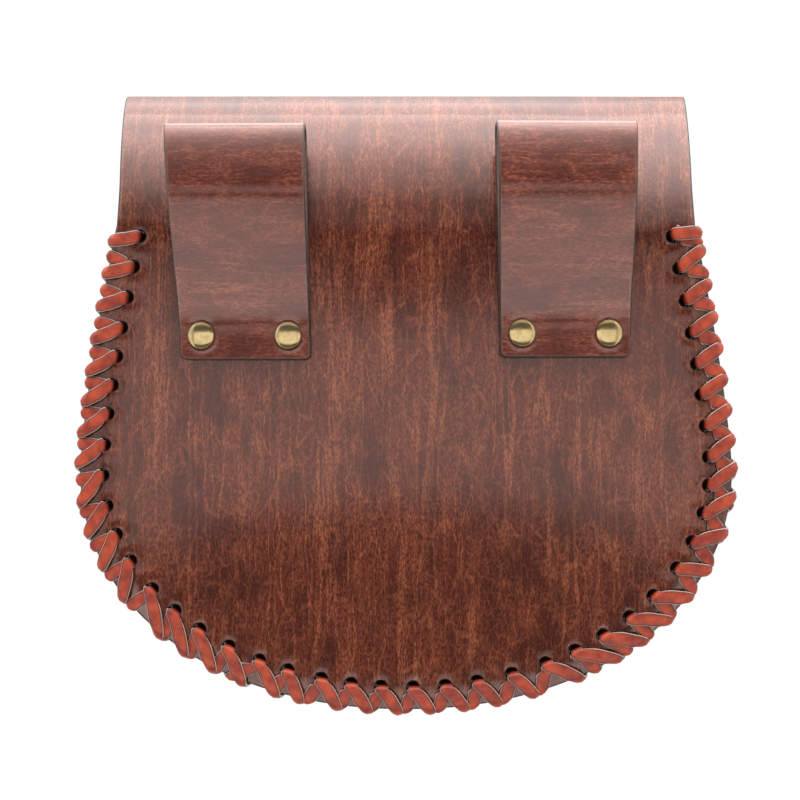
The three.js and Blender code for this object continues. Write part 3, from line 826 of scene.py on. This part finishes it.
def lace_finish():
    """Reddish tan lace leather: darker along its sides, partly dyed and partly painted shade, pale where the
    cut shows the raw hide, and painted near black as shade where it lies deep in a hole.
    """
    finish = bpy.data.materials.new("lace_leather_tan")
    finish.use_nodes = True
    tree = finish.node_tree
    place = node(tree, "TexCoord", {}).outputs["Object"]
    on_lace = node(tree, "Attribute", {}, attribute_name="lace").outputs["Vector"]
    across, _, hole_shade = node(tree, "SeparateXYZ", {0: on_lace}).outputs
    from_middle = sums(tree, "ABSOLUTE", across, 0.0)
    mottle = node(tree, "TexNoise", {"Vector": place, "Scale": 260.0, "Detail": 4.0}).outputs[0]
    pores = node(tree, "TexNoise", {"Vector": place, "Scale": 2400.0, "Detail": 3.0}).outputs[0]
    # marks, and the colour they take
    layers = [
        (sums(tree, "MULTIPLY", ranged(tree, pores, 0.5, 0.75), 0.3), (0.12, 0.018, 0.011, 1)),
        # darker along the sides: partly dark dye on the lace's edges, partly painted shade
        (sums(tree, "MULTIPLY", ranged(tree, from_middle, 0.67, 0.82), 0.85), (0.07, 0.015, 0.011, 1)),
        (ranged(tree, from_middle, 0.90, 0.97), (0.48, 0.35, 0.30, 1)),
        # painted shade: near black where the lace lies deep in a hole
        (hole_shade, (0.012, 0.004, 0.003, 1))]
    colour = blend(tree, ranged(tree, mottle, 0.35, 0.65), (0.19, 0.0155, 0.005, 1), (0.418, 0.05, 0.0118, 1))
    for marks, tint in layers:
        colour = blend(tree, marks, colour, tint)
    surface = tree.nodes["Principled BSDF"]
    tree.links.new(colour, surface.inputs["Base Color"])
    surface.inputs["Specular IOR Level"].default_value = 0.45
    tree.links.new(ranged(tree, pores, 0.3, 0.7, 0.34, 0.46), surface.inputs["Roughness"])
    bump = node(tree, "Bump", {"Strength": 0.5, "Distance": 0.00003, "Height": pores})
    tree.links.new(bump.outputs[0], surface.inputs["Normal"])
    return finish


lace_colour = lace_finish()
# The over strand ends under the edge by the last hole, and the under strand inside the first hole.
over_stations = [station for hole in range(hole_count) for station in stitch(hole, 1, 1)][:-1]
under_stations = [station for hole in reversed(range(hole_count)) for station in stitch(hole, -1, 0)][:-10]
for name, stations in (("over", over_stations), ("under", under_stations)):
    strand = lace_strand(f"lace_{name}_strand", stations, lace_colour)
    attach(strand, "root")
    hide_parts(f"lace_{name}")

# Floor, light and camera
# The pouch lies on a white sweep under soft boxes: a bright one beyond the roll at the top, a
# weaker one towards the bottom, and a small one overhead. The camera looks straight down.
scene = bpy.context.scene
scene.view_settings.view_transform = "Standard"
floor_shape = bmesh.new()
bmesh.ops.create_grid(floor_shape, x_segments=1, y_segments=1, size=12.0)
bmesh.ops.translate(floor_shape, vec=(0, 0, -0.0003), verts=floor_shape.verts)
sweep = bpy.data.materials.new("white_sweep")
sweep.use_nodes = True
tree = sweep.node_tree
place = node(tree, "TexCoord", {}).outputs["Object"]
behind = node(tree, "SeparateXYZ", {0: place}).outputs[1]
# the sweep lights itself: evenly white round the pouch, and glowing over four times brighter beyond the roll,
# where it lights the top of the roll as a lamp would
brightness = ranged(tree, behind, 0.113, 0.150, 1.03, 4.6)
glow = node(tree, "Emission", {"Color": (1, 1, 1, 1), "Strength": brightness})
tree.links.new(glow.outputs[0], tree.nodes["Material Output"].inputs["Surface"])
floor = made_object("white_sweep_floor", floor_shape, [sweep])

world = bpy.data.worlds.new("studio")
world.use_nodes = True
tree = world.node_tree
upward = node(tree, "SeparateXYZ", {0: node(tree, "TexCoord", {}).outputs["Generated"]}).outputs[2]
backdrop = tree.nodes["Background"]
backdrop.inputs["Color"].default_value = (1, 1, 1, 1)
tree.links.new(ranged(tree, upward, 0.08, 0.2, 1.03, 0.1), backdrop.inputs["Strength"])
scene.world = world


def soft_box(name, place, wide, tall, brightness):
    """A rectangular light of an even brightness, aimed at the pouch."""
    lamp = bpy.data.lights.new(name, "AREA")
    lamp.shape = "RECTANGLE"
    lamp.size = wide
    lamp.size_y = tall
    lamp.energy = brightness * math.pi * wide * tall
    box = bpy.data.objects.new(name, lamp)
    box.location = place
    box.rotation_euler = (Vector((0, 0, 0.04)) - Vector(place)).to_track_quat("-Z", "Y").to_euler()
    scene.collection.objects.link(box)


# name, direction of the box (0 along +Y, 90 along +X), from and to how far down from overhead, brightness
light_tent = [("bottom_light", 180, 24, 60, 1.6), ("bottom_light_fade", 180, 19, 24, 0.95),
              ("right_light", 90, 20, 90, 0.75), ("left_light", 270, 20, 90, 0.75)]
for step in range(13):
    start = 16 + 6 * step
    brightness = 5 * min(1.0, (start - 7) / 60) ** 1.3
    light_tent.append((f"top_light_{step + 1:02d}", 0, start, start + 6, brightness))
tent_reach = 1.3
for name, heading, start, stop, brightness in light_tent:
    middle = math.radians((start + stop) / 2)
    out = tent_reach * math.sin(middle)
    place = (out * math.sin(math.radians(heading)), out * math.cos(math.radians(heading)),
             0.04 + tent_reach * math.cos(middle))
    soft_box(name, place, 2.0, 2 * tent_reach * math.tan(math.radians((stop - start) / 2)), brightness)
soft_box("overhead_light", (0, -0.008, 0.955), 0.66, 0.235, 0.9)

camera = bpy.data.cameras.new("camera")
camera.sensor_width = 36.0
camera.lens = camera.sensor_width * 900 / 267.2
eye = bpy.data.objects.new("camera", camera)
eye.location = (-0.002, 0.0007, 0.942)
scene.collection.objects.link(eye)
scene.camera = eye
